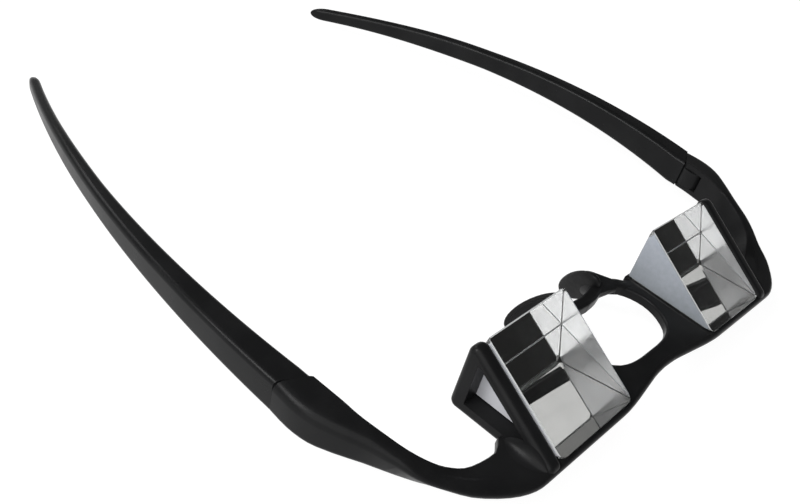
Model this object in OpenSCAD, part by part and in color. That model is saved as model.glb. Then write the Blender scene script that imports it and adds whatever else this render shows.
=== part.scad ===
/* [Prisms] */
// Distance between the middles of the two prisms, which suits the wearer's pupils
pupil_gap = 63; // [60:0.5:68]
// Width of each prism along the frame
prism_w = 26.5; // [22:0.5:30]
// Height of the prism face that the eye looks into
prism_h = 13.3; // [11:0.1:15]
// Slope of the clear face, in degrees from the shelf
prism_slope = 30; // [27:0.5:33]
// Radius of the rounded corners of the clear face
face_corner = 2; // [1:0.1:3]
// Thickness of the paint on each triangular end
paint_t = 0.15; // [0.1:0.05:0.3]
// Thickness of the mirror coat and its backing
mirror_t = 0.15; // [0.1:0.05:0.3]
// Thickness of the bond sheet under the mirror
bond_t = 0.25; // [0.15:0.05:0.5]
// Margin left bare round the bond sheet
bond_margin = 1; // [0.5:0.1:3]

/* [Frame] */
// Thickness of the shelf under the prisms
shelf_t = 2.2; // [1.6:0.1:3]
// Outward droop of each half of the frame, in degrees
droop = 2.4; // [1:0.1:4]
// Lip of the shelf in front of the prisms
front_lip = 1; // [0.6:0.1:2.5]
// Ledge of the shelf behind the prisms
rear_ledge = 0.5; // [0.2:0.1:1.5]
// Depth of the notch in the front edge over the nose
nose_notch = 2.4; // [1:0.1:4]
// Half the width of the central opening
opening_half_w = 15.2; // [13:0.1:16]
// Width of the web in front of the central opening
web_w = 4.8; // [3:0.1:6]
// Radius of the opening's rounded upper edge
opening_edge = 0.7; // [0.3:0.1:1]
// Width of the nose bridge bar
bridge_w = 2.8; // [2:0.1:4]
// Height of the nose bridge bar
bridge_h = 3; // [2.4:0.1:4]

/* [Side plates] */
// Thickness of the side plate at each prism's outer end
side_t = 3.9; // [3:0.1:5]
// Running gap between the prism's painted end and the side plate
side_gap = 0.2; // [0.1:0.05:0.4]
// Width of the side plate's rear bar, behind its triangular window
side_bar = 3.3; // [2:0.1:3.6]
// Width of the side plate's sloping bar, over the window
side_slope_bar = 1.9; // [1.6:0.1:3.2]
// Radius of the side plate's rounded edges
side_round = 1.3; // [0.5:0.1:1.4]
// Radius of the side plate's corners, seen from the side
side_corner = 1.7; // [1.5:0.1:2.5]
// How far the side plate stands behind the eye face
side_rear = 1; // [0.6:0.1:2]
// Radius of the fillet at the foot of the side plate
foot_fillet = 2.8; // [1:0.1:3.4]

/* [End pieces and hinges] */
// Distance between the outer faces of the frame at the hinges
hinge_span = 161.2; // [150:0.5:172]
// Distance from the eye faces back to the temples' seam
hinge_back = 18.8; // [15:0.1:22]
// Slant of the seam, forward toward the inside, in degrees
seam_slant = 22; // [10:1:26]
// Height of the end piece at the hinge
end_h = 7.8; // [6.8:0.1:9]
// Width of the end piece at the hinge
end_w = 7.2; // [6.6:0.1:8]
// How far the end piece stands above the shelf's own plane at the hinge
end_rise = 7.4; // [5:0.1:9]
// Width of the rib that runs on from the end piece
rib_top = 3.4; // [2.4:0.1:4.5]
// Reach of the rib's sloped inner side
rib_side = 1.1; // [0.6:0.1:1.4]
// Lean of the outer faces, in degrees
lean = 6.5; // [0:0.5:10]
// Radius of the rounded long edges
edge_r = 1.2; // [0.6:0.1:1.5]
// Rounding of the end piece's upper outer ridge
ridge_r = 2.3; // [1.2:0.1:2.6]
// Radius of the hinge knuckle
knuckle_r = 3.2; // [2.6:0.1:3.4]
// Thickness of the lip over the knuckle
lip_top = 1.3; // [1:0.1:1.8]
// Thickness of the lip under the knuckle
lip_bottom = 1.6; // [1.3:0.1:2]
// Play between moving faces of the hinge
play = 0.12; // [0.08:0.01:0.2]
// Shank diameter of the hinge screw
screw_d = 1.6; // [1.2:0.1:2]
// Radial play of the knuckle's bore on the screw
bore_play = 0.04; // [0.02:0.01:0.08]
// Head diameter of the hinge screw
head_d = 2.8; // [2.4:0.1:3.2]
// Head height of the hinge screw
head_h = 0.7; // [0.5:0.05:0.9]

/* [Temples] */
// Length of the temple behind the seam, measured straight back
temple_len = 112.5; // [95:0.5:130]
// How far the tips turn in from the hinges
tip_in = 31; // [20:0.5:36]
// How far the temples bulge out behind the hinges
temple_bulge = 3.2; // [0:0.1:8]
// Drop of the tip below the hinge
tip_drop = 6.5; // [0:0.1:12]
// Rise of the temple's arch over a straight line to the tip
temple_arch = 3.7; // [0:0.1:5]
// Height of the temple past the hinge
temple_h = 5.2; // [4.5:0.1:6.5]
// Height of the temple's tip, as a share of its height past the hinge
tip_share = 0.66; // [0.5:0.02:0.9]
// Thickness of the temple at the tip
tip_t = 2.6; // [2.2:0.1:4]
// Length of the rounded end
tip_round = 4; // [2:0.1:6]

/* [Nose pads] */
// Length of the oval nose pad
pad_l = 16; // [12:0.5:18]
// Width of the oval nose pad
pad_w = 6.6; // [5.5:0.1:8]
// Thickness of the nose pad
pad_t = 1.8; // [1.2:0.1:2.6]
// Half the distance between the pads' middles
pad_half_gap = 8.9; // [8:0.1:11]
// Distance from the eye faces back to the pads' middles
pad_back = 6.6; // [5:0.1:9]
// Distance from the prisms' foot down to the pads' middles
pad_drop = 3.6; // [2:0.1:5]
// Slope of the pads' long axis, in degrees
pad_slope = 54; // [45:1:60]
// Flare of the pads toward the bottom, in degrees
pad_flare = 20; // [12:1:26]
// Turn of the pads toward the face, in degrees
pad_turn = 7; // [0:1:15]
// Thickness of the plate that backs each pad
pad_plate_t = 1.2; // [0.8:0.1:2]
// Diameter of the stud that holds each pad
stud_d = 1.8; // [1.4:0.1:2.4]

/* [Hidden] */

// Facets of a full round
round_fn = 48;
// Overlap that fuses features of one moulding
bite = 0.3;
// Depth of a cut past the face that it opens
over = 1;
prism_l = prism_h / tan(prism_slope);
face_l = prism_h / sin(prism_slope);
inner_x = (pupil_gap - prism_w) / 2;
glass_w = prism_w - 2 * paint_t;
shelf_top = -mirror_t - bond_t;
shelf_bottom = shelf_top - shelf_t;
front_y = -prism_l - front_lip;
side_in = prism_w + side_gap;
side_x = inner_x + side_in + side_t;
hinge_x = hinge_span / 2;
opening_front = front_y + nose_notch + web_w;
opening_rear = 0.6;
end_top = end_rise + plane_z(hinge_x);
end_bottom = end_top - end_h;
// Hinge axis, set in from the outer face and forward of the seam's outer end
axis_in = 4.6;
axis_fore = 5.2;
axis_x = hinge_x - axis_in;
axis_y = hinge_back - axis_fore;
lip_r = axis_fore * cos(seam_slant) - axis_in * sin(seam_slant);
pocket_top = end_top - lip_top;
pocket_bottom = end_bottom + lip_bottom;
screw_top = pocket_top + 0.6 * lip_top;
screw_foot = end_bottom + 0.05;
// The part's origin is the flat underside of the web at the nose
origin_y = front_y + nose_notch + web_w / 2;
// Half the length of the notch in the front edge
notch_half = inner_x + 4;
// Depth of the rim along the prisms
rim_d = 3.4;
// Lift of the end piece's underside over the shelf's
end_lift = shelf_t + end_rise - end_h;
// Place of the end piece's inner face between the side plate and the hinge
in_x = 1 - end_w / (hinge_x - side_x);
// Rounding of the rim's inner edges
inner_edge = 0.3;
// A lofted feature stops this far inside the faces that it runs into
skim = 0.03;
// Sections between two rows of the rim and of the bridge bar
rim_steps = 3;
bridge_steps = 5;
// How far the side plate stands proud of the clear face
side_proud = 0.4;
window_foot = shelf_top + 0.4;
// Reach of the fillet along the side plate
foot_start = 0.94 * front_y;
foot_end = 0.52 * front_y;
pad_face = pad_t / 2;
// Size of the plate that backs each pad, as a share of the pad
plate_share = 0.78;
stud_l = pad_plate_t;
// Where the pad's arm springs from the bridge bar, as a share of inner_x and a distance y
arm_roots = [[0.36, 1.6], [0.52, 1.6], [0.7, 0.6]];
// Share of the temple's length over which its height falls off, and how fast its width does
height_run = 0.56;
width_fall = 1.78;
// How far the temple's loft starts in front of the seam, as a share of the end piece's width
root_share = 0.7;

// Height of the shelf's top at a distance from the middle of the frame
function plane_z(x) = shelf_top - max(0, x - inner_x) * tan(droop);
function mix(a, b, t) = a + (b - a) * t;
function clamp(v, lo, hi) = min(hi, max(lo, v));
function ease(t) = let (c = clamp(t, 0, 1)) c * c * (3 - 2 * c);
// Catmull-Rom curve through a list of rows, at parameter t counted in rows
function spline(rows, t) =
    let (n = len(rows) - 1, i = clamp(floor(t), 0, n - 1), u = t - i,
        a = rows[max(0, i - 1)], b = rows[i], c = rows[i + 1], d = rows[min(n, i + 2)])
    0.5 * (2 * b + (c - a) * u + (2 * a - 5 * b + 4 * c - d) * u * u + (3 * b - a - 3 * c + d) * u * u * u);
function arc(cx, cy, r, from, to, n) =
    [for (k = [0 : n]) let (a = mix(from, to, k / n)) [cx + r * cos(a), cy + r * sin(a)]];

// Skin a list of rings that all have the same number of points, and close both ends
module skin(rings) {
    n = len(rings[0]);
    m = len(rings);
    points = [for (ring = rings, p = ring) p];
    sides = [for (j = [0 : m - 2], i = [0 : n - 1])
        let (a = j * n + i, b = j * n + (i + 1) % n)
        each [[a, b + n, b], [a, a + n, b + n]]];
    ends = [[for (i = [0 : n - 1]) i], [for (i = [n - 1 : -1 : 0]) (m - 1) * n + i]];
    polyhedron(points, concat(sides, ends));
}

module on_left_half() {
    translate([inner_x, 0, 0]) rotate([0, droop, 0]) children();
}

module to_right() {
    mirror([1, 0, 0]) children();
}

module placed() {
    translate([0, -origin_y, -shelf_bottom]) children();
}

// Extrude an outline given in y and z along x
module along_x(from, length) {
    translate([from, 0, 0]) rotate([90, 0, 90]) linear_extrude(length) children();
}

// Rounded rectangle from one corner to the opposite one
module rounded_rect(x, y, w, h, r) {
    translate([x + r, y]) square([w - 2 * r, h]);
    translate([x, y + r]) square([w, h - 2 * r]);
    for (cx = [x + r, x + w - r], cy = [y + r, y + h - r])
        translate([cx, cy]) circle(r, $fn = round_fn);
}

// Column square to the clear face, which rounds the face's corners
module face_column() {
    translate([0, -prism_l, 0]) rotate([prism_slope, 0, 0]) translate([0, 0, -prism_h])
        linear_extrude(2 * prism_h) rounded_rect(0, 0, prism_w, face_l, face_corner);
}

module prism_section() {
    polygon([[0, 0], [0, prism_h], [-prism_l, 0]]);
}

// One prism, from its inner end outward
module prism_glass() {
    color([0.86, 0.88, 0.9, 0.5]) intersection() {
        along_x(paint_t, glass_w) prism_section();
        face_column();
    }
}

// Coat on the triangular end that starts at a distance from the prism's inner end
module end_paint(from) {
    color([0.62, 0.65, 0.7]) intersection() {
        along_x(from, paint_t) prism_section();
        face_column();
    }
}

module mirror_coat() {
    color([0.8, 0.81, 0.83]) intersection() {
        translate([0, -prism_l, -mirror_t]) cube([prism_w, prism_l, mirror_t]);
        face_column();
    }
}

module bond_sheet() {
    color([0.16, 0.16, 0.17])
        translate([bond_margin, bond_margin - prism_l, shelf_top])
            cube([prism_w - 2 * bond_margin, prism_l - 2 * bond_margin, bond_t]);
}

// Front edge of the frame, with its shallow notch over the nose
function front_edge(x) = front_y + nose_notch * ease(1 - abs(x) / notch_half);

// Rows of the rim from the hinge to the nose: outer x and y, inner x and y, rise over the shelf,
// lift of the underside, step down from the rib on the inner side, tuck of the outer face's foot
// and spread of the inner face's foot
function rim_row(fx, fy, gx, gy, rise, lift, step, tuck, spread) =
    [mix(side_x, hinge_x, fx), mix(front_y, hinge_back, fy), mix(side_x, hinge_x, gx),
     mix(front_y, hinge_back, gy), rise * end_rise, lift * end_lift, step, tuck * edge_r, spread * edge_r];
function front_row(x) = [x, front_edge(x), x, front_edge(x) + rim_d, 0, 0, 1, 0, 0];
rim_rows = [
    rim_row(1, 1.01, in_x, 1.01, 1, 1, 0, 0, 0),
    rim_row(1.018, 0.887, in_x, 0.875, 1, 1, 0, 0, 0),
    rim_row(0.998, 0.778, in_x - 0.01, 0.768, 0.96, 0.9, 0, 0, 0),
    rim_row(0.931, 0.673, in_x - 0.025, 0.683, 0.87, 0.8, 0, 0, 0.3),
    rim_row(0.845, 0.561, 0.713, 0.586, 0.75, 0.6, 0, 0.3, 1.5),
    rim_row(0.777, 0.435, 0.644, 0.456, 0.53, 0.4, 0, 1.3, 2.7),
    rim_row(0.728, 0.354, 0.552, 0.36, 0.31, 0.25, 0, 2.3, 2.7),
    rim_row(0.643, 0.265, 0.451, 0.31, 0.12, 0.1, 0.1, 2.6, 1.8),
    rim_row(0.499, 0.152, 0.32, 0.267, 0.04, 0, 1, 1.2, 0.6),
    rim_row(0.296, 0.055, 0.122, 0.25, 0, 0, 1, 0.3, 0),
    rim_row(0.125, 0.008, -0.017, 0.292, 0, 0, 1, 0, 0),
    front_row(mix(side_x, notch_half, 0.04)), front_row(mix(side_x, notch_half, 0.3)),
    front_row(mix(side_x, notch_half, 0.68)),
    each [for (k = [6 : -1 : 1]) front_row(k / 6 * notch_half)], front_row(-bite)];

// Cross-section of the rim at one row, as points in space
function rim_ring(row) =
    let (o = [row[0], row[1]], i = [row[2], row[3]], w = norm(i - o), e = (i - o) / w,
        slope = (plane_z(i[0]) - plane_z(o[0])) / w,
        rise = max(0, row[4]),
        full = shelf_t + rise - row[5],
        r = min(edge_r, 0.45 * full),
        top_r = min(mix(edge_r, ridge_r, clamp(1.4 * rise / end_rise, 0, 1)), 0.5 * full),
        rib = max(top_r + skim, min(rib_top, w - rib_side - 1.3 * inner_edge)),
        low = plane_z(o[0]) - shelf_t + row[5] + skim,
        high = plane_z(o[0]) + rise - skim,
        ledge = min(high - skim, mix(high, plane_z(o[0]) - skim, clamp(row[6], 0, 1))),
        tuck = max(0, row[7]) / full,
        spread = max(0, row[8]),
        profile = concat(
            arc(r, low + r, r, 270, 180, 5),
            arc(top_r, high - top_r, top_r, 180, 90, 6),
            [[rib, high], [rib + 0.3 * rib_side, mix(high, ledge, 0.12)],
             [rib + 0.75 * rib_side, mix(high, ledge, 0.9)], [rib + rib_side, ledge],
             [w - inner_edge, ledge], [w, ledge - inner_edge],
             [w + spread, low + inner_edge], [w + spread - inner_edge, low]]))
    [for (p = profile) let (q = p[0] + leaned(high - p[1], p[0] / w, tuck))
        [o[0] + e[0] * q, o[1] + e[1] * q, p[1] + slope * q]];
// Set-in of a point of the outer face, at a depth below its top and a share of the way across
function leaned(depth, share, more) = depth * (tan(lean) + more) * clamp(1 - share, 0, 1);

module rim() {
    n = (len(rim_rows) - 1) * rim_steps;
    skin([for (k = [0 : n]) rim_ring(spline(rim_rows, k / rim_steps))]);
}

// Shelf under one prism, as far as the side plate's rounded foot
module shelf() {
    translate([-bite, front_y + edge_r, shelf_bottom])
        cube([side_in + side_t - side_round + bite, -front_y - edge_r + rear_ledge, shelf_t]);
}

// Half the outline of the central opening, as shares of its half width and of its depth from the front
opening_rows = [[0, 0], [0.3, 0.005], [0.54, 0.035], [0.74, 0.11], [0.89, 0.262], [0.98, 0.432], [1, 0.602],
    [0.947, 0.784], [0.83, 0.92], [0.63, 0.99], [0.35, 1], [0, 1]];
function opening_point(t) =
    let (p = spline(opening_rows, t))
    [p[0] * opening_half_w, mix(opening_front, opening_rear, p[1])];

// Outline of the central opening at a height, grown by its rounded edge
function opening_ring(z, grow) =
    let (half = [for (t = [0.25 : 0.5 : len(opening_rows) - 1])
        let (d = opening_point(t + 0.01) - opening_point(t - 0.01))
        opening_point(t) + [d[1], -d[0]] / norm(d) * grow])
    concat([for (p = half) [p[0], p[1], z]],
        [for (i = [len(half) - 1 : -1 : 0]) [-half[i][0], half[i][1], z]]);

// Flat web between the prisms, with the central opening
module web() {
    front = [for (k = [-12 : 12]) let (x = inner_x * k / 12) [x, front_edge(x) + edge_r]];
    r = opening_edge;
    rounded = [for (a = [0 : 15 : 90]) opening_ring(shelf_top - r + r * sin(a), r - r * cos(a))];
    difference() {
        translate([0, 0, shelf_bottom]) linear_extrude(shelf_t)
            polygon(concat(front, [[inner_x, -bridge_w / 2], [-inner_x, -bridge_w / 2]]));
        skin(concat([opening_ring(shelf_bottom - over, 0)], rounded, [opening_ring(shelf_top + over, r)]));
    }
}

// Bridge bar behind the opening, which steps back at the pads and forward over the nose
bridge_rows = [[1, -1.9], [0.83, -1], [0.69, 0.6], [0.56, 1.9], [0.4, 1.9], [0.2, 1.1], [-0.02, 0.8]];
function bridge_ring(t) =
    let (p = spline(bridge_rows, t), d = spline(bridge_rows, t + 0.01) - spline(bridge_rows, t - 0.01),
        v = [d[0] * inner_x, d[1]], e = [-v[1], v[0]] / norm(v),
        w = bridge_w / 2, r = 0.3 * bridge_w, s = 0.1 * bridge_w,
        top = shelf_bottom + mix(shelf_t, bridge_h, ease(t / 2)),
        low = shelf_bottom + skim,
        profile = concat(arc(w - s, low + s, s, -90, 0, 2), arc(w - r, top - r, r, 0, 90, 3),
            arc(r - w, top - r, r, 90, 180, 3), arc(s - w, low + s, s, 180, 270, 2)))
    [for (c = profile) [p[0] * inner_x + e[0] * c[0], p[1] + e[1] * c[0], c[1]]];

module bridge() {
    n = (len(bridge_rows) - 1) * bridge_steps;
    skin([for (k = [0 : n]) bridge_ring(k / bridge_steps)]);
}

// Height of the side plate's sloping edge at a distance y, set in by a depth
function side_line(y, depth) = prism_h + side_proud + y * tan(prism_slope) - depth / cos(prism_slope);

// Outline of the side plate at a distance x, set in by a depth
function side_ring(x, depth) =
    let (c = side_corner, r = c - depth, y0 = side_rear - c, low = shelf_bottom + c,
        y1 = (low - side_line(0, c)) / tan(prism_slope))
    [for (p = concat(arc(y0, low, r, -90, 0, 6), arc(y0, side_line(y0, c), r, 0, 90 + prism_slope, 8),
        arc(y1, low, r, 90 + prism_slope, 270, 8))) [x, p[0], p[1]]];

module side_plate() {
    r = side_round;
    back = side_rear - side_bar;
    window_fore = (window_foot - side_line(0, side_slope_bar)) / tan(prism_slope);
    difference() {
        skin(concat([for (a = [0 : 18 : 90]) side_ring(side_in + r - r * cos(a), r - r * sin(a))],
            [for (a = [90 : -18 : 0]) side_ring(side_in + side_t - r + r * cos(a), r - r * sin(a))]));
        along_x(side_in - over, side_t + 2 * over)
            polygon([[back, window_foot], [back, side_line(back, side_slope_bar)], [window_fore, window_foot]]);
    }
    foot();
}

// Fillet between the side plate's outer face and the rim, which fades out at both ends
module foot() {
    n = 10;
    skin([for (k = [0 : n])
        let (r = foot_fillet * max(0.1, pow(sin(180 * clamp(k / n, 0, 1)), 0.6)), y = mix(foot_start, foot_end, k / n))
        [for (p = concat([[-bite, -bite]], arc(r, r, r, 180, 270, 6)))
            [side_in + side_t + p[0] - skim, y, shelf_top + p[1] - skim]]]);
}

// Pad frame: y runs down the pad, x leads away from the nose
module at_pad() {
    translate([pad_half_gap, pad_back, -pad_drop]) rotate([-pad_slope, -pad_flare, -pad_turn]) children();
}
function oval_ring(x, share) =
    [for (a = [0 : 10 : 350]) [x, share * pad_l / 2 * cos(a), share * pad_w / 2 * sin(a)]];

module pad_arm() {
    hull() {
        at_pad() skin([oval_ring(pad_face, plate_share), oval_ring(pad_face + pad_plate_t, plate_share - 0.06)]);
        for (root = arm_roots) translate([root[0] * inner_x, root[1], shelf_bottom + bridge_h / 2])
            sphere(bridge_h / 2 - skim, $fn = 24);
    }
}

module stud(play_r) {
    translate([pad_face - bite, 0, 0]) rotate([0, 90, 0])
        cylinder(stud_l + bite, stud_d / 2 + play_r, stud_d / 2 + play_r, $fn = round_fn);
}

module nose_pad() {
    color([0.2, 0.2, 0.21]) at_pad() {
        skin([oval_ring(-pad_face, 0.8), oval_ring(-0.8 * pad_face, 0.92), oval_ring(-0.3 * pad_face, 1),
            oval_ring(0.5 * pad_face, 1), oval_ring(pad_face, 0.93)]);
        stud(0);
    }
}

module at_hinge() {
    translate([axis_x, axis_y, 0]) children();
}

// Room for the knuckle, open to the inside and to the rear
module hinge_pocket() {
    room = knuckle_r + 2 * play;
    reach = 2 * end_w;
    at_hinge() translate([0, 0, pocket_bottom]) {
        cylinder(pocket_top - pocket_bottom, room, room, $fn = round_fn);
        translate([-reach, 0, 0]) cube([reach + room, reach, pocket_top - pocket_bottom]);
        translate([-reach, -room, 0]) cube([reach, reach, pocket_top - pocket_bottom]);
    }
}

// Everything behind the slanted seam, set back from it by a gap
module behind_seam(gap) {
    reach = 3 * end_w;
    translate([hinge_x, hinge_back, end_bottom - over]) rotate([0, 0, seam_slant])
        translate([-reach, gap, 0]) cube([2 * reach, temple_len, end_h + 2 * over]);
}

// Round inner corner of the lips, which the temple's end turns past
module lip_corner() {
    reach = 2 * end_w;
    at_hinge() rotate([0, 0, seam_slant]) translate([0, 0, end_bottom - over]) difference() {
        translate([-reach, 0, 0]) cube([reach, reach, end_h + 2 * over]);
        translate([0, 0, -over]) cylinder(end_h + 4 * over, lip_r, lip_r, $fn = 96);
    }
}

module before_seam(gap) {
    reach = 3 * end_w;
    translate([hinge_x, hinge_back, end_bottom - over]) rotate([0, 0, seam_slant])
        translate([-reach, gap - reach, 0]) cube([2 * reach, reach, end_h + 2 * over]);
}

module screw_hole() {
    at_hinge() {
        translate([0, 0, end_bottom - over])
            cylinder(screw_top - end_bottom + over, screw_d / 2, screw_d / 2, $fn = round_fn);
        translate([0, 0, end_bottom - over])
            cylinder(screw_foot + head_h - end_bottom + over, head_d / 2 + play / 2, head_d / 2 + play / 2,
                $fn = round_fn);
    }
}

module half_frame() {
    difference() {
        union() {
            rim();
            on_left_half() {
                shelf();
                side_plate();
            }
            bridge();
            pad_arm();
        }
        hinge_pocket();
        behind_seam(0);
        lip_corner();
        screw_hole();
        at_pad() stud(0);
    }
}

module front_frame() {
    color([0.08, 0.08, 0.085]) {
        half_frame();
        to_right() half_frame();
        web();
    }
}

// The temple's line, at a share t of its length behind the seam
function temple_x(t) = hinge_x + temple_bulge * t - (temple_bulge + tip_in) * t * t;
function temple_mid_z(t) = (end_top + end_bottom) / 2 - tip_drop * t + 4 * temple_arch * t * (1 - t);
function temple_height(t) = mix(temple_h, tip_share * temple_h, ease((t - 0.6) / 0.4))
    + (end_h - temple_h) * clamp(1 - t / height_run, 0, 1);
function temple_width(t) = tip_t + (end_w - tip_t) * pow(clamp(1 - t, 0, 1), width_fall);
function temple_ring(t) =
    let (s = max(0, t), u = clamp((t - 1) * temple_len / tip_round + 1, 0, 1), k = sqrt(1 - u * u * 0.985),
        along = [temple_bulge - 2 * (temple_bulge + tip_in) * s, temple_len],
        e = [-along[1], along[0]] / norm(along),
        w = temple_width(s) * k, h = temple_height(s) * k,
        r = min(edge_r, 0.42 * w, 0.42 * h), inset = temple_width(s) * (1 - k) / 2,
        z = temple_mid_z(s),
        profile = concat(arc(w - r, r - h / 2, r, -90, 0, 5), arc(w - r, h / 2 - r, r, 0, 90, 5),
            arc(r, h / 2 - r, r, 90, 180, 5), arc(r, r - h / 2, r, 180, 270, 5)))
    [for (p = profile) let (q = p[0] + inset + leaned(h / 2 - p[1], p[0] / w, 0))
        [temple_x(s) + e[0] * q, hinge_back + t * temple_len + e[1] * q, z + p[1]]];

module temple() {
    root = -root_share * end_w / temple_len;
    bend = [for (k = [0 : 34]) k / 36];
    tip = [for (k = [0 : 8]) 1 - tip_round / temple_len * (1 - sin(90 * k / 8))];
    color([0.08, 0.08, 0.085]) difference() {
        union() {
            difference() {
                skin([for (t = concat([root], bend, tip)) temple_ring(t)]);
                before_seam(play);
            }
            knuckle();
        }
        at_hinge() translate([0, 0, end_bottom])
            cylinder(end_h, screw_d / 2 + bore_play, screw_d / 2 + bore_play, $fn = round_fn);
    }
}

module knuckle() {
    h = pocket_top - pocket_bottom - 2 * play;
    at_hinge() translate([0, 0, pocket_bottom + play]) {
        cylinder(h, knuckle_r, knuckle_r, $fn = round_fn);
        translate([edge_r - end_w + axis_in, 0, 0]) cube([knuckle_r + end_w - axis_in - edge_r, axis_fore + 0.6, h]);
    }
}

module hinge_screw() {
    color([0.75, 0.75, 0.76]) at_hinge() difference() {
        union() {
            translate([0, 0, screw_foot]) cylinder(screw_top - screw_foot, screw_d / 2, screw_d / 2, $fn = round_fn);
            translate([0, 0, screw_foot]) cylinder(head_h, head_d / 2, head_d / 2, $fn = round_fn);
        }
        translate([-head_d, -0.2, screw_foot - over]) cube([2 * head_d, 0.4, over + 0.35]);
    }
}

module hinge_screws() {
    hinge_screw();
    to_right() hinge_screw();
}

placed() front_frame();
placed() to_right() temple();  // temple_right
placed() temple();  // temple_left
placed() to_right() on_left_half() prism_glass();  // prism_right
placed() on_left_half() prism_glass();  // prism_left
placed() to_right() on_left_half() mirror_coat();  // mirror_right
placed() on_left_half() mirror_coat();  // mirror_left
placed() to_right() on_left_half() bond_sheet();  // prism_bond_right
placed() on_left_half() bond_sheet();  // prism_bond_left
placed() to_right() on_left_half() end_paint(prism_w - paint_t);  // end_paint_outer_right
placed() to_right() on_left_half() end_paint(0);  // end_paint_inner_right
placed() on_left_half() end_paint(prism_w - paint_t);  // end_paint_outer_left
placed() on_left_half() end_paint(0);  // end_paint_inner_left
placed() to_right() nose_pad();  // nose_pad_right
placed() nose_pad();  // nose_pad_left
placed() hinge_screws();
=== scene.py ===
"""Belay glasses: two mirrored glass prisms in a moulded black frame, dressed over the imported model."""
import itertools
import logging
import math
from dataclasses import dataclass, field
from enum import Enum

import bmesh
import bpy
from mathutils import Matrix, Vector


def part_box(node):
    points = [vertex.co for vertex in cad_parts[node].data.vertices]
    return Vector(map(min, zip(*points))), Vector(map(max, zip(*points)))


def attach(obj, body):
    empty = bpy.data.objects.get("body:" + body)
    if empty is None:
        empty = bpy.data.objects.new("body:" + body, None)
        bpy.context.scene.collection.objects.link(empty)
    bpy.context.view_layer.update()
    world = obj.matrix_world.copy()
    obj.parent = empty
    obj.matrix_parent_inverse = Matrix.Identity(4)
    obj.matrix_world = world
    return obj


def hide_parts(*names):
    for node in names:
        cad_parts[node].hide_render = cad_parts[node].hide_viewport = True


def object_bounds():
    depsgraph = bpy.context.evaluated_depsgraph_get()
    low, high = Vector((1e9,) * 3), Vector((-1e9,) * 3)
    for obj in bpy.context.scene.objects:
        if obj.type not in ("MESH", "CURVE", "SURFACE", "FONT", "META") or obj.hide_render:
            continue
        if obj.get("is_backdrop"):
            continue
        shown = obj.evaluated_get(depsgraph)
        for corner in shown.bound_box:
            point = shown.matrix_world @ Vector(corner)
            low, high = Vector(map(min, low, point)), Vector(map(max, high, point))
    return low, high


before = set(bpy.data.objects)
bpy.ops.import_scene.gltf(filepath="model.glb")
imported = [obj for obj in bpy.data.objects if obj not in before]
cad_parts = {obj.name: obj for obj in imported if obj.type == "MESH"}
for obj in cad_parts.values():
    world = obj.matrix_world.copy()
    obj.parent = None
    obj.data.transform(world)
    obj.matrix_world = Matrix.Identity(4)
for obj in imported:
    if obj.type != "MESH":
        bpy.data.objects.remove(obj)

log = logging.getLogger("belay_glasses")

Triple = tuple[float, float, float]

MM = 0.001
# Points of a CAD mesh that are this near to each other become one
WELD = 0.002 * MM
# Points that are this near to a plane lie on it
SAME_PLANE = 0.05 * MM
# Cosine above which a face looks along a direction
FACING = 0.5
# Faces whose normals differ by more than this lie back to back
BACK_TO_BACK = math.radians(170)
# Faces across a softened edge
EDGE_STEPS = 2
# Weight of the larger faces where normals are weighed, of 100
LARGE_FACES = 60
# Fine part of every noise, as a share of its coarse part
NOISE_ROUGHNESS = 0.55


class Side(Enum):
    """The wearer's two sides, with the sign of X on each."""

    RIGHT = -1
    LEFT = 1

    @property
    def word(self) -> str:
        """The side's word in the names of nodes and bodies."""
        return self.name.lower()


class Body(Enum):
    """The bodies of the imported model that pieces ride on."""

    FRAME = "frame"
    RIGHT_TEMPLE = "right_temple"
    LEFT_TEMPLE = "left_temple"


class Slot(Enum):
    """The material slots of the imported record."""

    FRAME_PLASTIC = "frame_plastic"
    TEMPLE_PLASTIC = "temple_plastic"
    PRISM_GLASS = "prism_glass"
    MIRROR_COAT = "mirror_coat"
    END_PAINT = "end_paint"
    PAD_RUBBER = "pad_rubber"
    SCREW_STEEL = "screw_steel"


@dataclass(frozen=True)
class Grain:
    """Noise on Object coordinates.

    Attributes:
        scale: cells per metre.
        detail: octaves of finer noise.
        stretch: factor along X, Y and Z.
    """

    scale: float
    detail: float
    stretch: Triple = (1.0, 1.0, 1.0)


@dataclass(frozen=True)
class Span:
    """A clamped map from one range of values onto another.

    Attributes:
        low: result at the start.
        high: result at the end.
        start: value where the map starts.
        end: value where it ends.
    """

    low: float
    high: float
    start: float = 0.3
    end: float = 0.7


@dataclass(frozen=True)
class Tones:
    """Two colours that run into each other as a value grows.

    Attributes:
        start: value up to which the first colour holds.
        first: the first colour.
        end: value from which the last colour holds.
        last: the last colour.
    """

    start: float
    first: Triple
    end: float
    last: Triple


@dataclass(frozen=True)
class Relief:
    """How much a value bumps the surface.

    Attributes:
        strength: share of the full effect.
        depth: height of the relief in metres.
    """

    strength: float
    depth: float


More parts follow.
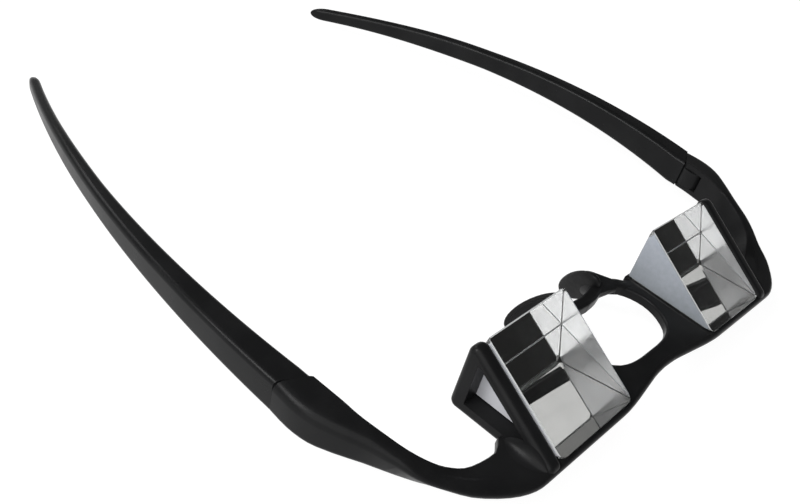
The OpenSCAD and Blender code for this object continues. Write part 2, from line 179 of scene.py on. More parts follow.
class NodeGraph:
    """A material's node tree with short calls to add and join nodes.

    Args:
        name: name of the new material.
    """

    def __init__(self, name: str) -> None:
        """Makes the material with only its Principled shader and output."""
        self.material = bpy.data.materials.new(name)
        self.material.use_nodes = True
        self.tree = self.material.node_tree
        self.tree.nodes.clear()
        self.output = self.tree.nodes.new("ShaderNodeOutputMaterial")
        self.shader = self.tree.nodes.new("ShaderNodeBsdfPrincipled")
        self.join(self.shader, "BSDF", self.output, "Surface")
        self.place = self.tree.nodes.new("ShaderNodeTexCoord")

    def join(self, source: bpy.types.Node, output: str, target: bpy.types.Node, socket: str | int) -> None:
        """Links an output of one node to a socket of another."""
        self.tree.links.new(source.outputs[output], target.inputs[socket])

    def noise(self, grain: Grain) -> bpy.types.Node:
        """Noise on Object coordinates.

        Args:
            grain: its scale, detail and stretch.

        Returns:
            The Noise Texture node.
        """
        mapping = self.tree.nodes.new("ShaderNodeMapping")
        mapping.inputs["Scale"].default_value = grain.stretch
        self.join(self.place, "Object", mapping, "Vector")
        node = self.tree.nodes.new("ShaderNodeTexNoise")
        node.inputs["Scale"].default_value = grain.scale
        node.inputs["Detail"].default_value = grain.detail
        node.inputs["Roughness"].default_value = NOISE_ROUGHNESS
        self.join(mapping, "Vector", node, "Vector")
        return node

    def height(self) -> bpy.types.Node:
        """The Separate XYZ node, whose Z is the height over the object's origin."""
        node = self.tree.nodes.new("ShaderNodeSeparateXYZ")
        self.join(self.place, "Object", node, "Vector")
        return node

    def ranged(self, source: bpy.types.Node, output: str, span: Span) -> bpy.types.Node:
        """Maps a value onto a range.

        Args:
            source: node that gives the value.
            output: its output.
            span: the map.

        Returns:
            The Map Range node.
        """
        node = self.tree.nodes.new("ShaderNodeMapRange")
        node.inputs["From Min"].default_value = span.start
        node.inputs["From Max"].default_value = span.end
        node.inputs["To Min"].default_value = span.low
        node.inputs["To Max"].default_value = span.high
        self.join(source, output, node, "Value")
        return node

    def added(self, first: bpy.types.Node, second: bpy.types.Node) -> bpy.types.Node:
        """The Math node that adds the results of two Map Range nodes."""
        node = self.tree.nodes.new("ShaderNodeMath")
        node.operation = "ADD"
        self.join(first, "Result", node, 0)
        self.join(second, "Result", node, 1)
        return node

    def colour(self, source: bpy.types.Node, output: str, tones: Tones) -> None:
        """Colours the surface by a value.

        Args:
            source: node that gives the value.
            output: its output.
            tones: the two colours and where they stand.
        """
        node = self.tree.nodes.new("ShaderNodeValToRGB")
        first, last = node.color_ramp.elements
        first.position = tones.start
        first.color = (*tones.first, 1.0)
        last.position = tones.end
        last.color = (*tones.last, 1.0)
        self.join(source, output, node, "Fac")
        self.join(node, "Color", self.shader, "Base Color")

    def roughen(self, source: bpy.types.Node, span: Span) -> None:
        """Sets the surface's roughness by a noise."""
        self.join(self.ranged(source, "Fac", span), "Result", self.shader, "Roughness")

    def bump(self, source: bpy.types.Node, relief: Relief) -> None:
        """Bumps the surface with a noise."""
        node = self.tree.nodes.new("ShaderNodeBump")
        node.inputs["Strength"].default_value = relief.strength
        node.inputs["Distance"].default_value = relief.depth
        self.join(source, "Fac", node, "Height")
        self.join(node, "Normal", self.shader, "Normal")

    def settle(self, **values: object) -> None:
        """Sets the shader's own sockets, named with _ for a space."""
        for name, value in values.items():
            self.shader.inputs[name.replace("_", " ")].default_value = value


@dataclass(frozen=True)
class MouldedPlastic:
    """Satin black moulded plastic with the fine grain of a spark-eroded mould.

    Attributes:
        name: the material's name.
        gloss: roughness where it is handled and elsewhere.
        patches: the handled patches.
        tones: colours of the darker and the handled patches.
        wear: noise of the roughness.
        grain: the mould's grain.
        relief: how far the grain stands out.
        ior: index of refraction.
        specular: level of the surface's own reflection.
    """

    name: str
    gloss: Span = Span(0.28, 0.37)
    patches: Grain = Grain(90.0, 4.0)
    tones: Tones = Tones(0.38, (0.0070, 0.0071, 0.0074), 0.66, (0.0100, 0.0101, 0.0104))
    wear: Grain = Grain(160.0, 5.0)
    grain: Grain = Grain(5200.0, 2.0)
    relief: Relief = Relief(0.35, 0.01 * MM)
    ior: float = 1.5
    specular: float = 0.08

    def build(self) -> bpy.types.Material:
        """Makes the material."""
        graph = NodeGraph(self.name)
        graph.colour(graph.noise(self.patches), "Fac", self.tones)
        graph.roughen(graph.noise(self.wear), self.gloss)
        graph.bump(graph.noise(self.grain), self.relief)
        graph.settle(IOR=self.ior, Specular_IOR_Level=self.specular)
        return graph.material


@dataclass(frozen=True)
class ClearGlass:
    """Polished optical glass with a trace of finger haze.

    Attributes:
        name: the material's name.
        depth: noise of the tint.
        tones: the deeper and the clearer tint.
        touch: noise of the haze.
        haze: roughness of the clean and of the haziest glass.
        ior: index of refraction.
    """

    name: str
    depth: Grain = Grain(40.0, 2.0)
    tones: Tones = Tones(0.3, (0.985, 0.992, 0.988), 0.7, (0.992, 0.996, 0.993))
    touch: Grain = Grain(140.0, 4.0)
    haze: Span = Span(0.0, 0.006, 0.5, 0.8)
    ior: float = 1.52

    def build(self) -> bpy.types.Material:
        """Makes the material."""
        graph = NodeGraph(self.name)
        graph.colour(graph.noise(self.depth), "Fac", self.tones)
        graph.roughen(graph.noise(self.touch), self.haze)
        graph.settle(IOR=self.ior, Transmission_Weight=1.0)
        return graph.material


@dataclass(frozen=True)
class GroundGlass:
    """Fine-ground chamfers of the prism, which scatter light to a soft grey.

    Attributes:
        name: the material's name.
        grit: the grinding marks.
        tones: colours in and between the marks.
        gloss: roughness in and between the marks.
        relief: how deep the marks are.
    """

    name: str
    grit: Grain = Grain(5000.0, 2.0)
    tones: Tones = Tones(0.35, (0.336, 0.344, 0.344), 0.65, (0.42, 0.43, 0.43))
    gloss: Span = Span(0.5, 0.7)
    relief: Relief = Relief(0.3, 0.005 * MM)

    def build(self) -> bpy.types.Material:
        """Makes the material."""
        graph = NodeGraph(self.name)
        grit = graph.noise(self.grit)
        graph.colour(grit, "Fac", self.tones)
        graph.roughen(grit, self.gloss)
        graph.bump(grit, self.relief)
        return graph.material


@dataclass(frozen=True)
class SilverCoat:
    """Silvered back of the prism, with faint streaks from the coating.

    Attributes:
        name: the material's name.
        streaks: the streaks.
        tones: colours of the streaks and of the clean silver.
        gloss: roughness of the streaks and of the clean silver.
    """

    name: str
    streaks: Grain = Grain(120.0, 3.0, (1.0, 0.25, 1.0))
    tones: Tones = Tones(0.35, (0.50, 0.50, 0.49), 0.6, (0.53, 0.53, 0.52))
    gloss: Span = Span(0.004, 0.014)

    def build(self) -> bpy.types.Material:
        """Makes the material."""
        graph = NodeGraph(self.name)
        streaks = graph.noise(self.streaks)
        graph.colour(streaks, "Fac", self.tones)
        graph.roughen(streaks, self.gloss)
        graph.settle(Metallic=1.0)
        return graph.material


@dataclass(frozen=True)
class EndPaint:
    """Matt grey paint on ground glass, with painted shading: darker at the foot, paler and bluer toward the
    top.

    Attributes:
        name: the material's name.
        tones: colours at the foot and at the top; the darker foot is painted shade.
        painted_shade_rise: painted shading, how the colour grows paler with the height in metres.
        mottle: noise that is added to the rise.
        uneven: how much is added.
        brushing: noise of the roughness.
        gloss: the roughness.
        tooth: the paint's fine grain.
        relief: how far the grain stands out.
    """

    name: str
    tones: Tones = Tones(0.0, (0.17, 0.185, 0.20), 1.0, (0.28, 0.30, 0.34))
    painted_shade_rise: Span = Span(0.0, 0.85, 2.0 * MM, 16.0 * MM)
    mottle: Grain = Grain(900.0, 3.0)
    uneven: Span = Span(-0.08, 0.15)
    brushing: Grain = Grain(2400.0, 2.0)
    gloss: Span = Span(0.52, 0.66)
    tooth: Grain = Grain(6000.0, 2.0)
    relief: Relief = Relief(0.2, 0.006 * MM)

    def build(self) -> bpy.types.Material:
        """Makes the material."""
        graph = NodeGraph(self.name)
        # Painted shading: the colour grows paler and bluer with the height over the origin, so the foot of
        # each end is darker.
        painted_shade_rise = graph.ranged(graph.height(), "Z", self.painted_shade_rise)
        mottle = graph.ranged(graph.noise(self.mottle), "Fac", self.uneven)
        graph.colour(graph.added(painted_shade_rise, mottle), "Value", self.tones)
        graph.roughen(graph.noise(self.brushing), self.gloss)
        graph.bump(graph.noise(self.tooth), self.relief)
        return graph.material


@dataclass(frozen=True)
class SatinBacking:
    """Inner side of the end paint, seen through the glass: a satin metal flake.

    Attributes:
        name: the material's name.
        cloud: drift of the flakes.
        tones: the darker and the paler drift.
        gloss: roughness of the two.
        metal: share of metal.
    """

    name: str
    cloud: Grain = Grain(260.0, 3.0)
    tones: Tones = Tones(0.35, (0.837, 0.84165, 0.86025), 0.65, (0.90, 0.905, 0.925))
    gloss: Span = Span(0.15, 0.20)
    metal: float = 0.6

    def build(self) -> bpy.types.Material:
        """Makes the material."""
        graph = NodeGraph(self.name)
        cloud = graph.noise(self.cloud)
        graph.colour(cloud, "Fac", self.tones)
        graph.roughen(cloud, self.gloss)
        graph.settle(Metallic=self.metal)
        return graph.material


@dataclass(frozen=True)
class Rubber:
    """Dark matt rubber or adhesive with a paler bloom.

    Attributes:
        name: the material's name.
        bloom: the bloom's patches.
        tones: colours between the bloom and in it.
        touch: noise of the roughness.
        gloss: the roughness.
        skin: the surface's fine grain.
        relief: how far the grain stands out.
        specular: level of the surface's own reflection.
    """

    name: str
    bloom: Grain
    tones: Tones
    touch: Grain
    gloss: Span
    skin: Grain
    relief: Relief
    specular: float

    def build(self) -> bpy.types.Material:
        """Makes the material."""
        graph = NodeGraph(self.name)
        graph.colour(graph.noise(self.bloom), "Fac", self.tones)
        graph.roughen(graph.noise(self.touch), self.gloss)
        graph.bump(graph.noise(self.skin), self.relief)
        graph.settle(Specular_IOR_Level=self.specular)
        return graph.material


@dataclass(frozen=True)
class BondSheet(Rubber):
    """Dark adhesive sheet with a soft mottle."""

    bloom: Grain = Grain(700.0, 3.0)
    tones: Tones = Tones(0.35, (0.018, 0.018, 0.019), 0.7, (0.032, 0.032, 0.034))
    touch: Grain = Grain(400.0, 2.0)
    gloss: Span = Span(0.55, 0.75)
    skin: Grain = Grain(3000.0, 2.0)
    relief: Relief = Relief(0.3, 0.02 * MM)
    specular: float = 0.5


@dataclass(frozen=True)
class PadRubber(Rubber):
    """Soft dark rubber of the nose pads, with a dusty bloom."""

    bloom: Grain = Grain(500.0, 5.0)
    tones: Tones = Tones(0.35, (0.0040, 0.0040, 0.0042), 0.7, (0.0062, 0.0062, 0.0066))
    touch: Grain = Grain(700.0, 3.0)
    gloss: Span = Span(0.48, 0.62)
    skin: Grain = Grain(7000.0, 2.0)
    relief: Relief = Relief(0.3, 0.01 * MM)
    specular: float = 0.14


@dataclass(frozen=True)
class ScrewSteel:
    """Bright turned steel with fine rings from the lathe.

    Attributes:
        name: the material's name.
        rings: the marks of the lathe.
        tones: colours in and between the marks.
        gloss: roughness in and between the marks.
        relief: how deep the marks are.
    """

    name: str
    rings: Grain = Grain(300.0, 4.0, (1.0, 1.0, 12.0))
    tones: Tones = Tones(0.35, (0.45, 0.45, 0.46), 0.65, (0.62, 0.62, 0.63))
    gloss: Span = Span(0.22, 0.36)
    relief: Relief = Relief(0.2, 0.01 * MM)

    def build(self) -> bpy.types.Material:
        """Makes the material."""
        graph = NodeGraph(self.name)
        rings = graph.noise(self.rings)
        graph.colour(rings, "Fac", self.tones)
        graph.roughen(rings, self.gloss)
        graph.bump(rings, self.relief)
        graph.settle(Metallic=1.0)
        return graph.material


@dataclass(frozen=True)
class StudioSheet:
    """Plain white sheet under the part, lit from beneath so that shadows stay soft.

    Attributes:
        name: the material's name.
        fibre: the sheet's clouds.
        tones: the darker and the paler clouds, as light from above shows them.
        roughness: the roughness.
        glow: light that the sheet passes from beneath.
    """

    name: str
    fibre: Grain = Grain(30.0, 4.0)
    tones: Tones = Tones(0.3, (0.14, 0.14, 0.14), 0.7, (0.15, 0.15, 0.15))
    roughness: float = 0.9
    glow: float = 0.93

    def build(self) -> bpy.types.Material:
        """Makes the material."""
        graph = NodeGraph(self.name)
        graph.colour(graph.noise(self.fibre), "Fac", self.tones)
        white = (1.0, 1.0, 1.0, 1.0)
        graph.settle(Roughness=self.roughness, Emission_Color=white, Emission_Strength=self.glow)
        return graph.material


@dataclass
class Finishes:
    """Every finish of the part, made once."""

    frame_plastic: bpy.types.Material = field(default_factory=MouldedPlastic("frame_plastic_satin").build)
    temple_plastic: bpy.types.Material = field(
        default_factory=MouldedPlastic("temple_plastic_satin", Span(0.27, 0.35)).build)
    glass: bpy.types.Material = field(default_factory=ClearGlass("prism_glass_clear").build)
    ground: bpy.types.Material = field(default_factory=GroundGlass("prism_chamfer_ground").build)
    silver: bpy.types.Material = field(default_factory=SilverCoat("mirror_silver").build)
    paint: bpy.types.Material = field(default_factory=EndPaint("end_paint_grey").build)
    # Painted light: a paler copy of the grey end paint for the outer ends, standing in for the light that
    # falls on them.
    lit_copy_paint: bpy.types.Material = field(default_factory=EndPaint(
        "end_paint_lit_copy", Tones(0.0, (0.46, 0.465, 0.49), 1.0, (0.50, 0.51, 0.545))).build)
    backing: bpy.types.Material = field(default_factory=SatinBacking("end_paint_backing").build)
    bond: bpy.types.Material = field(default_factory=BondSheet("bond_sheet_dark").build)
    rubber: bpy.types.Material = field(default_factory=PadRubber("pad_rubber_dark").build)
    steel: bpy.types.Material = field(default_factory=ScrewSteel("screw_steel_turned").build)


def merged_copy(node: str, flat: float = 0.02) -> bmesh.types.BMesh:
    """Copies a CAD node's mesh and joins its loose triangles into one skin.

    Args:
        node: the CAD node.
        flat: faces that meet at less than this angle, in radians, become one.

    Returns:
        The copy, in the row frame.
    """
    shape = bmesh.new()
    shape.from_mesh(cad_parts[node].data)
    bmesh.ops.remove_doubles(shape, verts=shape.verts, dist=WELD)
    bmesh.ops.dissolve_degenerate(shape, edges=shape.edges, dist=WELD)
    bmesh.ops.dissolve_limit(shape, angle_limit=flat, verts=shape.verts, edges=shape.edges)
    return shape


def round_edges(shape: bmesh.types.BMesh, width: float, angle: float) -> None:
    """Bevels the sharp edges, as far as the shape's shortest edges leave room.

    Args:
        shape: the shape.
        width: greatest width of the bevel in metres.
        angle: edges sharper than this, in radians, are rounded.
    """
    sharp = [e for e in shape.edges if len(e.link_faces) == 2 and e.calc_face_angle(0.0) > angle]
    bmesh.ops.bevel(shape, geom=sharp, offset=width, offset_type="OFFSET", segments=EDGE_STEPS,
                    profile=0.5, affect="EDGES", clamp_overlap=True, material=-1)


def largest_faces(shape: bmesh.types.BMesh, count: int) -> list[bmesh.types.BMFace]:
    """The largest faces of a shape, from the largest down."""
    return sorted(shape.faces, key=lambda face: -face.calc_area())[:count]


def cut_off(shape: bmesh.types.BMesh, outward: Vector, reach: float, slot: int = 0) -> None:
    """Cuts off what lies beyond a plane and closes the cut.

    Args:
        shape: a convex shape.
        outward: the plane's normal.
        reach: the plane's distance from the origin along it, in metres.
        slot: material slot of the new face.
    """
    geometry = [*shape.verts, *shape.edges, *shape.faces]
    cut = bmesh.ops.bisect_plane(shape, geom=geometry, plane_co=outward * reach, plane_no=outward,
                                 clear_outer=True)
    rim = [item for item in cut["geom_cut"] if isinstance(item, bmesh.types.BMEdge)]
    for face in bmesh.ops.contextual_create(shape, geom=rim)["faces"]:
        face.material_index = slot


def grind_edges(shape: bmesh.types.BMesh, width: float, facets: int, slot: int) -> None:
    """Grinds a narrow chamfer along each edge between the largest faces of a convex shape.

    The sharper an edge is, the narrower its chamfer.

    Args:
        shape: the shape.
        width: width of the chamfer along a square edge, in metres.
        facets: how many of the largest faces count.
        slot: material slot of the chamfers.
    """
    shape.normal_update()
    largest = largest_faces(shape, facets)
    planes = [(face.normal.copy(), face.normal.dot(face.verts[0].co)) for face in largest]
    for (normal_a, reach_a), (normal_b, reach_b) in itertools.combinations(planes, 2):
        turn = normal_a.angle(normal_b)
        if turn > BACK_TO_BACK:
            continue
        both = normal_a + normal_b
        depth = 0.5 * width / math.tan(turn / 2)
        cut_off(shape, both.normalized(), (reach_a + reach_b) / both.length - depth, slot)
    bmesh.ops.recalc_face_normals(shape, faces=shape.faces)


def make_piece(shape: bmesh.types.BMesh, name: str, crisp: float,
               *finishes: bpy.types.Material) -> bpy.types.Object:
    """Turns a shape into an object that shades smooth up to an angle.

    Args:
        shape: the shape, which is freed.
        name: name of the piece.
        crisp: edges sharper than this, in radians, stay crisp.
        finishes: its materials, slot by slot.

    Returns:
        The object, at the origin.
    """
    for face in shape.faces:
        face.smooth = True
    for edge in shape.edges:
        edge.smooth = len(edge.link_faces) != 2 or edge.calc_face_angle(0.0) < crisp
    mesh = bpy.data.meshes.new(name)
    shape.to_mesh(mesh)
    shape.free()
    for finish in finishes:
        mesh.materials.append(finish)
    piece = bpy.data.objects.new(name, mesh)
    bpy.context.scene.collection.objects.link(piece)
    return piece


def keep_flat(piece: bpy.types.Object, area: float) -> None:
    """Keeps the large faces optically flat, so that only the rounded corners shade smooth.

    Args:
        piece: the piece.
        area: faces over this area, in square metres, are flat.
    """
    shape = bmesh.new()
    shape.from_mesh(piece.data)
    for face in shape.faces:
        if face.calc_area() > area:
            face.smooth = False
            for edge in face.edges:
                edge.smooth = False
    shape.to_mesh(piece.data)
    shape.free()


def weigh_normals(piece: bpy.types.Object) -> None:
    """Lets the large faces hold their shading flat beside the small ones."""
    modifier = piece.modifiers.new("flat_faces", "WEIGHTED_NORMAL")
    modifier.keep_sharp = True
    modifier.weight = LARGE_FACES


def stand_for(piece: bpy.types.Object, body: Body, slot: Slot, *nodes: str) -> bpy.types.Object:
    """Puts a piece in place of CAD nodes.

    Args:
        piece: the piece.
        body: the body that it rides on.
        slot: the record's material slot; not used.
        nodes: the nodes that it stands for.

    Returns:
        The piece.
    """
    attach(piece, body.value)
    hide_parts(*nodes)
    return piece


def dress(piece: bpy.types.Object, finish: bpy.types.Material) -> None:
    """Gives a carried-over CAD node one finish."""
    piece.data.materials.clear()
    piece.data.materials.append(finish)


@dataclass(frozen=True)
class Softening:
    """How a CAD shape gets the softened edges of a moulded or turned piece.

    Attributes:
        edge: greatest width of the softened edges in metres.
        sharp: edges sharper than this, in radians, are softened.
        crisp: edges sharper than this, in radians, then stay crisp.
        flat: faces that meet at less than this angle, in radians, become one first.
    """

    edge: float
    sharp: float
    crisp: float
    flat: float

    def build(self, node: str, name: str, finish: bpy.types.Material) -> bpy.types.Object:
        """Makes the softened copy of a CAD node.

        Args:
            node: the CAD node.
            name: name of the piece.
            finish: its material.

        Returns:
            The object, at the origin.
        """
        shape = merged_copy(node, self.flat)
        round_edges(shape, self.edge, self.sharp)
        return make_piece(shape, name, self.crisp, finish)


@dataclass
class FrontFrame:
    """The moulded front: shelves, side plates, web, bridge, end pieces and pad arms.

    Attributes:
        finishes: the part's finishes.
        crisp: edges sharper than this, in radians, stay crisp.
    """

    finishes: Finishes
    crisp: float = math.radians(32)

    def build(self) -> list[bpy.types.Object]:
        """Makes the front frame, whose edges have only the CAD model's rounding.

        Returns:
            The pieces.
        """
        shape = merged_copy("front_frame")
        piece = make_piece(shape, "front_frame_moulding", self.crisp, self.finishes.frame_plastic)
        weigh_normals(piece)
        return [stand_for(piece, Body.FRAME, Slot.FRAME_PLASTIC, "front_frame")]


@dataclass
class Temple:
    """One temple with its hinge knuckle.

    Attributes:
        side: the wearer's side.
        finishes: the part's finishes.
        softening: how its edges are softened.
    """

    side: Side
    finishes: Finishes
    softening: Softening = Softening(0.2 * MM, math.radians(40), math.radians(38), 0.004)

    def build(self) -> list[bpy.types.Object]:
        """Makes the temple with softened edges.

        Returns:
            The pieces.
        """
        node = f"temple_{self.side.word}"
        piece = self.softening.build(node, f"{node}_arm", self.finishes.temple_plastic)
        weigh_normals(piece)
        body = Body.RIGHT_TEMPLE if self.side is Side.RIGHT else Body.LEFT_TEMPLE
        return [stand_for(piece, body, Slot.TEMPLE_PLASTIC, node)]


@dataclass
class PrismBlock:
    """One prism with its mirror, painted ends and bond sheet.

    The coats reach a hair into the glass, as wetted coats do, so that light in the glass meets them with
    no film of air between.

    Attributes:
        side: the wearer's side.
        finishes: the part's finishes.
        facets: the glass's large faces: the clear, the mirrored and the eye face, and the two ends.
        droop: how far the prism's outer end hangs, in radians.
        chamfer: width of the ground chamfer along a square edge in metres.
        blunting: how far the sharp top edge is ground down, in metres.
        wetting: how far the coats reach into the glass, in metres.
        polished: area of the smallest face that is polished flat, in square metres.
        glass_crisp: edges of the glass sharper than this, in radians, stay crisp.
        coat_crisp: edges of the coats sharper than this, in radians, stay crisp.
    """

    side: Side
    finishes: Finishes
    facets: int = 5
    droop: float = math.radians(2.4)
    chamfer: float = 0.3 * MM
    blunting: float = 0.43 * MM
    wetting: float = 0.02 * MM
    polished: float = 8.0 * MM * MM
    glass_crisp: float = math.radians(20)
    coat_crisp: float = math.radians(30)

    def build(self) -> list[bpy.types.Object]:
        """Makes the prism's pieces.

        Returns:
            The pieces.
        """
        return [self.glass(), *self.paints(), self.mirror(), self.bond()]

    def named(self, stem: str) -> str:
        """A node's name on this side."""
        return f"{stem}_{self.side.word}"

    def middle(self) -> Vector:
        """The middle of the glass."""
        low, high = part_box(self.named("prism"))
        return (Vector(low) + Vector(high)) / 2

    def across(self) -> Vector:
        """The direction along the prism toward +X."""
        return Vector((math.cos(self.droop), 0.0, -self.side.value * math.sin(self.droop)))

    def up(self) -> Vector:
        """The direction from the mirror into the glass."""
        return Vector((self.side.value * math.sin(self.droop), 0.0, math.cos(self.droop)))

    def top_strip(self) -> tuple[Vector, float]:
        """The plane of the ground strip along the top edge, between the clear face and the eye face.

        Returns:
            The plane's normal and its distance from the origin along it.
        """
        shape = merged_copy(self.named("prism"))
        shape.normal_update()
        clear, _, eye = largest_faces(shape, 3)
        both = clear.normal + eye.normal
        apex = (clear.verts[0].co.dot(clear.normal) + eye.verts[0].co.dot(eye.normal)) / both.length
        outward = both.normalized()
        shape.free()
        return outward, apex - self.blunting

    def glass(self) -> bpy.types.Object:
        """The glass, with ground chamfers in its second slot."""
        shape = merged_copy(self.named("prism"))
        grind_edges(shape, self.chamfer, self.facets, slot=1)
        cut_off(shape, *self.top_strip(), slot=1)
        bmesh.ops.recalc_face_normals(shape, faces=shape.faces)
        piece = make_piece(shape, self.named("prism_glass"), self.glass_crisp, self.finishes.glass,
                           self.finishes.ground)
        keep_flat(piece, self.polished)
        return stand_for(piece, Body.FRAME, Slot.PRISM_GLASS, self.named("prism"))

    def wetted(self, node: str, inward: Vector) -> bmesh.types.BMesh:
        """A coat whose face on the glass is pushed a hair into it, cut back to the glass's chamfers.

        Args:
            node: the coat's node.
            inward: direction from the coat into the glass.

        Returns:
            The shape.
        """
        shape = merged_copy(node)
        reach = max(v.co.dot(inward) for v in shape.verts)
        near = [v for v in shape.verts if reach - v.co.dot(inward) < SAME_PLANE]
        bmesh.ops.translate(shape, verts=near, vec=inward * self.wetting)
        shape.normal_update()
        sides = [face.normal.copy() for face in shape.faces if abs(face.normal.dot(inward)) < FACING]
        reaches = [max(v.co.dot(side) for v in shape.verts) for side in sides]
        for side, reach in zip(sides, reaches):
            cut_off(shape, side, reach - 0.5 * self.chamfer)
        cut_off(shape, *self.top_strip())
        shape.normal_update()
        return shape

    def paints(self) -> list[bpy.types.Object]:
        """The two painted ends, with their inner side in the second slot."""
        made = []
        # The outer ends take the paler, lit copy of the grey paint: painted light.
        for place, paint in (("outer", self.finishes.lit_copy_paint), ("inner", self.finishes.paint)):
            node = f"end_paint_{place}_{self.side.word}"
            low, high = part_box(node)
            toward = self.middle().x - (low[0] + high[0]) / 2
            inward = self.across() * math.copysign(1.0, toward)
            shape = self.wetted(node, inward)
            for face in shape.faces:
                face.material_index = int(face.normal.dot(inward) > FACING)
            piece = make_piece(shape, f"{node}_coat", self.coat_crisp, paint, self.finishes.backing)
            made.append(stand_for(piece, Body.FRAME, Slot.END_PAINT, node))
        return made

    def mirror(self) -> bpy.types.Object:
        """The silvered back."""
        node = self.named("mirror")
        shape = self.wetted(node, self.up())
        piece = make_piece(shape, f"{node}_silver", self.coat_crisp, self.finishes.silver)
        return stand_for(piece, Body.FRAME, Slot.MIRROR_COAT, node)

    def bond(self) -> bpy.types.Object:
        """The bond sheet keeps its CAD shape and gets its finish."""
        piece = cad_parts[self.named("prism_bond")]
        dress(piece, self.finishes.bond)
        return piece


@dataclass
class NosePad:
    """One oval rubber pad with its stud.

    Attributes:
        side: the wearer's side.
        finishes: the part's finishes.
        softening: how its rim is softened.
    """

    side: Side
    finishes: Finishes
    softening: Softening = Softening(0.15 * MM, math.radians(30), math.radians(50), 0.01)

    def build(self) -> list[bpy.types.Object]:
        """Makes the pad.

        Returns:
            The pieces.
        """
        node = f"nose_pad_{self.side.word}"
        piece = self.softening.build(node, f"{node}_rubber", self.finishes.rubber)
        return [stand_for(piece, Body.FRAME, Slot.PAD_RUBBER, node)]


@dataclass
class HingeScrews:
    """The two hinge screws, one node.

    Attributes:
        finishes: the part's finishes.
        softening: how the heads are chamfered.
    """

    finishes: Finishes
    softening: Softening = Softening(0.12 * MM, math.radians(50), math.radians(35), 0.004)

    def build(self) -> list[bpy.types.Object]:
        """Makes the screws with chamfered heads.

        Returns:
            The pieces.
        """
        piece = self.softening.build("hinge_screws", "hinge_screws_turned", self.finishes.steel)
        return [stand_for(piece, Body.FRAME, Slot.SCREW_STEEL, "hinge_screws")]


@dataclass(frozen=True)
class Softbox:
    """One rectangular studio light.

    Attributes:
        name: name of the light.
        place: where it stands, in metres.
        aim: the point that it looks at.
        size: its width and height in metres.
        power: its power in watts.
    """

    name: str
    place: Triple
    aim: Triple
    size: tuple[float, float]
    power: float

    def build(self) -> None:
        """Makes the light."""
        data = bpy.data.lights.new(self.name, "AREA")
        data.shape = "RECTANGLE"
        data.size, data.size_y = self.size
        data.energy = self.power
        lamp = bpy.data.objects.new(self.name, data)
        lamp.location = self.place
        lamp.rotation_euler = (Vector(self.aim) - Vector(self.place)).to_track_quat("-Z", "Y").to_euler()
        bpy.context.scene.collection.objects.link(lamp)


@dataclass(frozen=True)
class PhotoCamera:
    """The photograph's view, solved from the prisms' corners.

    Attributes:
        place: where the camera stands, in metres.
        turn: its Euler angles in radians.
        lens: focal length in millimetres.
        sensor: width of the sensor in millimetres.
        nearest: nearest distance that it sees, in metres.
        farthest: farthest distance that it sees, in metres.
    """

    place: Triple = (-0.204743, -0.046275, 0.145290)
    turn: Triple = (0.937245, -0.272793, -0.867451)
    lens: float = 52.472
    sensor: float = 36.0
    nearest: float = 0.01
    farthest: float = 20.0

    def build(self) -> None:
        """Makes the camera and looks through it."""
        data = bpy.data.cameras.new("photo_camera")
        data.sensor_width = self.sensor
        data.lens = self.lens
        data.clip_start = self.nearest
        data.clip_end = self.farthest
        camera = bpy.data.objects.new("photo_camera", data)
        camera.location = self.place
        camera.rotation_euler = self.turn
        bpy.context.scene.collection.objects.link(camera)
        bpy.context.scene.camera = camera


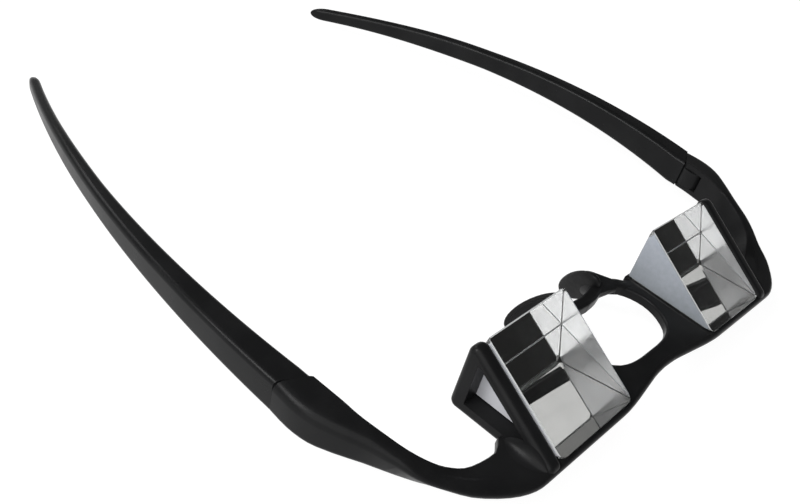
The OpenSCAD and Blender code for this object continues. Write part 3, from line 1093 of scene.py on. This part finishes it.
@dataclass
class Studio:
    """Pale floor, soft lights and the photograph's camera.

    Attributes:
        floor_z: height of the floor in metres.
        reach: half the floor's side in metres.
        cells: faces along the floor's side.
        wall: brightness of the room's walls.
        ceiling: brightness overhead.
        wall_low: elevation, in radians, up to which the walls are at their brightest.
        wall_high: elevation, in radians, where the ceiling starts.
        softboxes: the lights.
    """

    floor_z: float
    reach: float = 3.0
    cells: int = 8
    wall: float = 0.42
    ceiling: float = 0.03
    wall_low: float = math.radians(10)
    wall_high: float = math.radians(24)
    softboxes: tuple[Softbox, ...] = (
        Softbox("key_softbox", (-0.48, -0.14, 0.38), (0.0, 0.0, 0.0), (0.7, 0.7), 3.9),
        Softbox("rim_softbox", (-0.41, 0.23, 0.37), (-0.08, 0.02, 0.0), (0.24, 0.24), 2.4),
        Softbox("back_softbox", (0.1, 0.7, 0.5), (0.0, 0.0, 0.0), (0.4, 0.3), 1.5),
    )

    def build(self) -> None:
        """Makes everything that isn't part of the object."""
        self.floor()
        self.room()
        for softbox in self.softboxes:
            softbox.build()
        PhotoCamera().build()

    def floor(self) -> None:
        """The pale sheet that the part lies on."""
        sheet = bmesh.new()
        bmesh.ops.create_grid(sheet, x_segments=self.cells, y_segments=self.cells, size=self.reach)
        bmesh.ops.translate(sheet, verts=sheet.verts, vec=(0.0, 0.0, self.floor_z))
        make_piece(sheet, "studio_floor", math.pi, StudioSheet("studio_paper").build())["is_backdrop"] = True

    def room(self) -> None:
        """Pale walls round the part, which darken toward the ceiling."""
        world = bpy.data.worlds.new("studio_room")
        world.use_nodes = True
        tree = world.node_tree
        tree.nodes["Background"].inputs["Color"].default_value = (1.0, 1.0, 1.0, 1.0)
        direction = tree.nodes.new("ShaderNodeTexCoord")
        split = tree.nodes.new("ShaderNodeSeparateXYZ")
        tree.links.new(direction.outputs["Generated"], split.inputs["Vector"])
        height = tree.nodes.new("ShaderNodeMapRange")
        height.inputs["From Min"].default_value = math.sin(self.wall_low)
        height.inputs["From Max"].default_value = math.sin(self.wall_high)
        height.inputs["To Min"].default_value = self.wall
        height.inputs["To Max"].default_value = self.ceiling
        height.interpolation_type = "SMOOTHSTEP"
        tree.links.new(split.outputs["Z"], height.inputs["Value"])
        tree.links.new(height.outputs["Result"], tree.nodes["Background"].inputs["Strength"])
        bpy.context.scene.world = world


def colour_management() -> None:
    """Plain display colours, as the photograph has."""
    view = bpy.context.scene.view_settings
    view.view_transform = "Standard"
    view.look = "None"


def main() -> None:
    """Builds and dresses every piece, then the studio."""
    logging.basicConfig(level=logging.INFO, format="%(name)s %(message)s")
    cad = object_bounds()
    finishes = Finishes()
    pieces: list[bpy.types.Object] = []
    pieces += FrontFrame(finishes).build()
    pieces += HingeScrews(finishes).build()
    for side in Side:
        pieces += PrismBlock(side, finishes).build()
        pieces += NosePad(side, finishes).build()
        pieces += Temple(side, finishes).build()
    for piece in pieces:
        log.info("%s: %d faces", piece.name, len(piece.data.polygons))
    Studio(floor_z=cad[0].z).build()
    colour_management()


if __name__ == "__main__":
    main()
